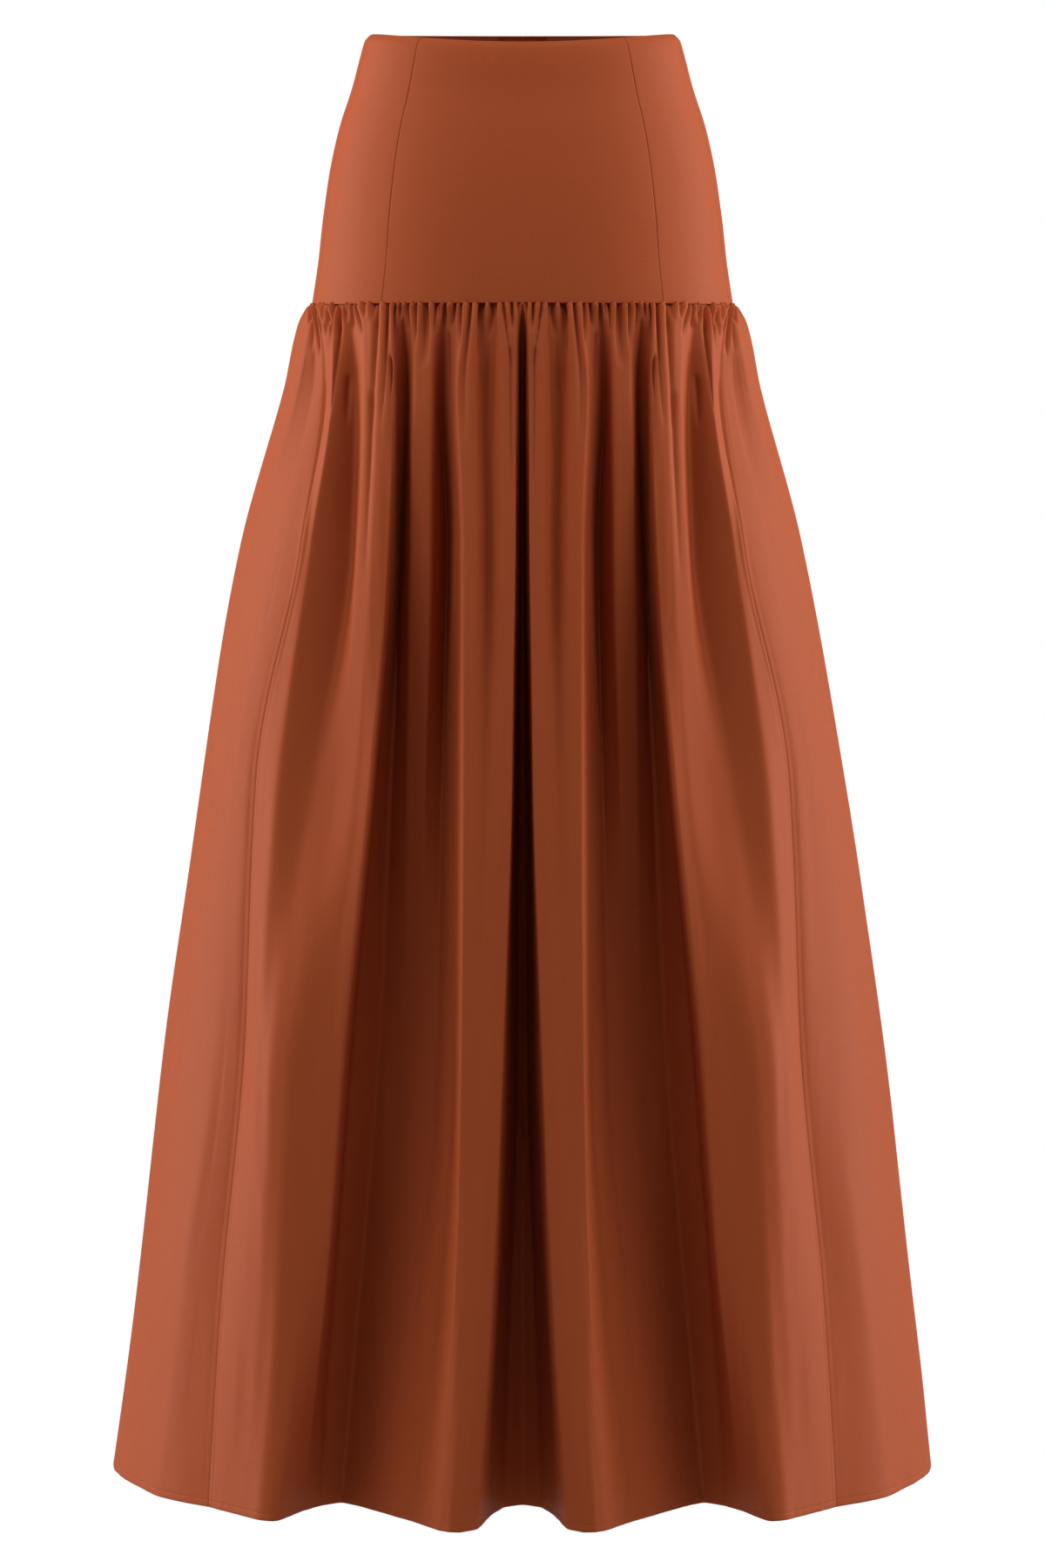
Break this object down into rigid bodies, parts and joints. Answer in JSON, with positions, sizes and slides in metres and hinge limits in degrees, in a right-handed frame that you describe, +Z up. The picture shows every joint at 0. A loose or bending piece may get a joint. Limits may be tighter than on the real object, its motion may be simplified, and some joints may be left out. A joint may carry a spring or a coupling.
{
  "type": "maxi skirt",
  "caption": "High-waisted maxi skirt with a smooth fitted yoke, princess seams and a long gathered lower skirt, filled out as if worn.",
  "frame": {"origin": "centre of the waist opening, level with the waist edge at the sides", "axes": "+Z up, -Y out of the front, +X to the wearer's left"},
  "size_m": [0.581, 0.5294, 1.014],
  "materials": {
    "cloth": "smooth plain-woven cotton with a faint satin sheen",
    "facing": "the same cotton, matt side",
    "zip_tape": "woven tape",
    "zip_metal": "enamelled to match the cloth"
  },
  "bodies": {
    "garment": {"yoke_centre_front": "cloth", "yoke_side_front_left": "cloth", "yoke_side_front_right": "cloth", "yoke_side_back_left": "cloth", "yoke_side_back_right": "cloth", "yoke_centre_back_left": "cloth", "yoke_centre_back_right": "cloth", "waist_facing_left": "facing", "waist_facing_right": "facing", "skirt_front": "cloth", "skirt_back_left": "cloth", "skirt_back_right": "cloth", "zip_tape": "zip_tape", "zip_slider": "zip_metal"},
    "pull_tab": {"zip_pull_tab": "zip_metal"}
  },
  "joints": [
    {"name": "pull_tab_swing", "type": "hinge", "parent": "garment", "child": "pull_tab", "pos_m": [0, 0.08733, -0.00352], "axis": [1, 0, 0], "range_deg": [0, 150]}
  ]
}
